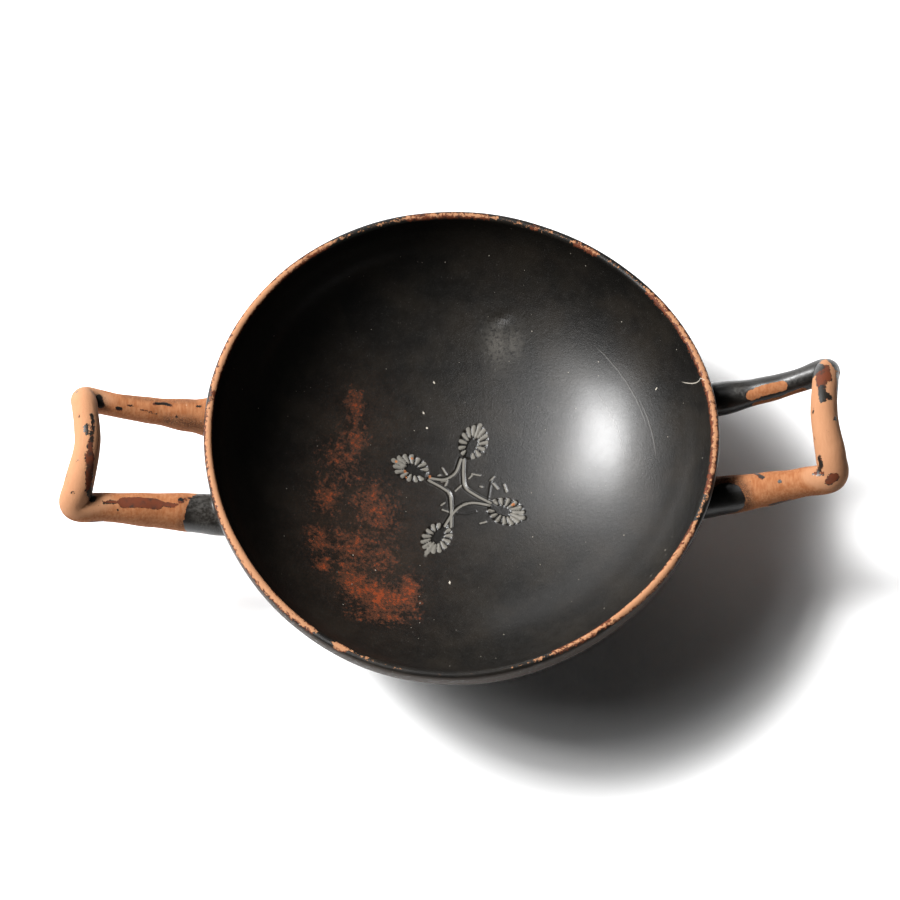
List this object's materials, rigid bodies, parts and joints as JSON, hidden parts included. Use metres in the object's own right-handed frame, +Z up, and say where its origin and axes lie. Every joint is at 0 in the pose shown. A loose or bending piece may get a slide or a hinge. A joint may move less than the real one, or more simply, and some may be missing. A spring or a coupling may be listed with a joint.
{
  "type": "stemless greek kylix drinking cup",
  "caption": "Shallow drinking cup of fired clay with bar handles on a low ring foot, black gloss worn to orange clay, linked palmettes stamped in the floor.",
  "frame": {"origin": "middle of the bounding box, on the plane the foot rests on", "axes": "+Z up along the bowl's axis, +X towards the shorter handle on the right, both handles along X"},
  "size_m": [0.2432, 0.1606, 0.063],
  "materials": {
    "gloss_clay": "semi-gloss black slip over orange terracotta, worn through at the rim and the handles, with red misfired mottling inside"
  },
  "bodies": {
    "root": {"kylix_cup": "gloss_clay"}
  },
  "joints": []
}
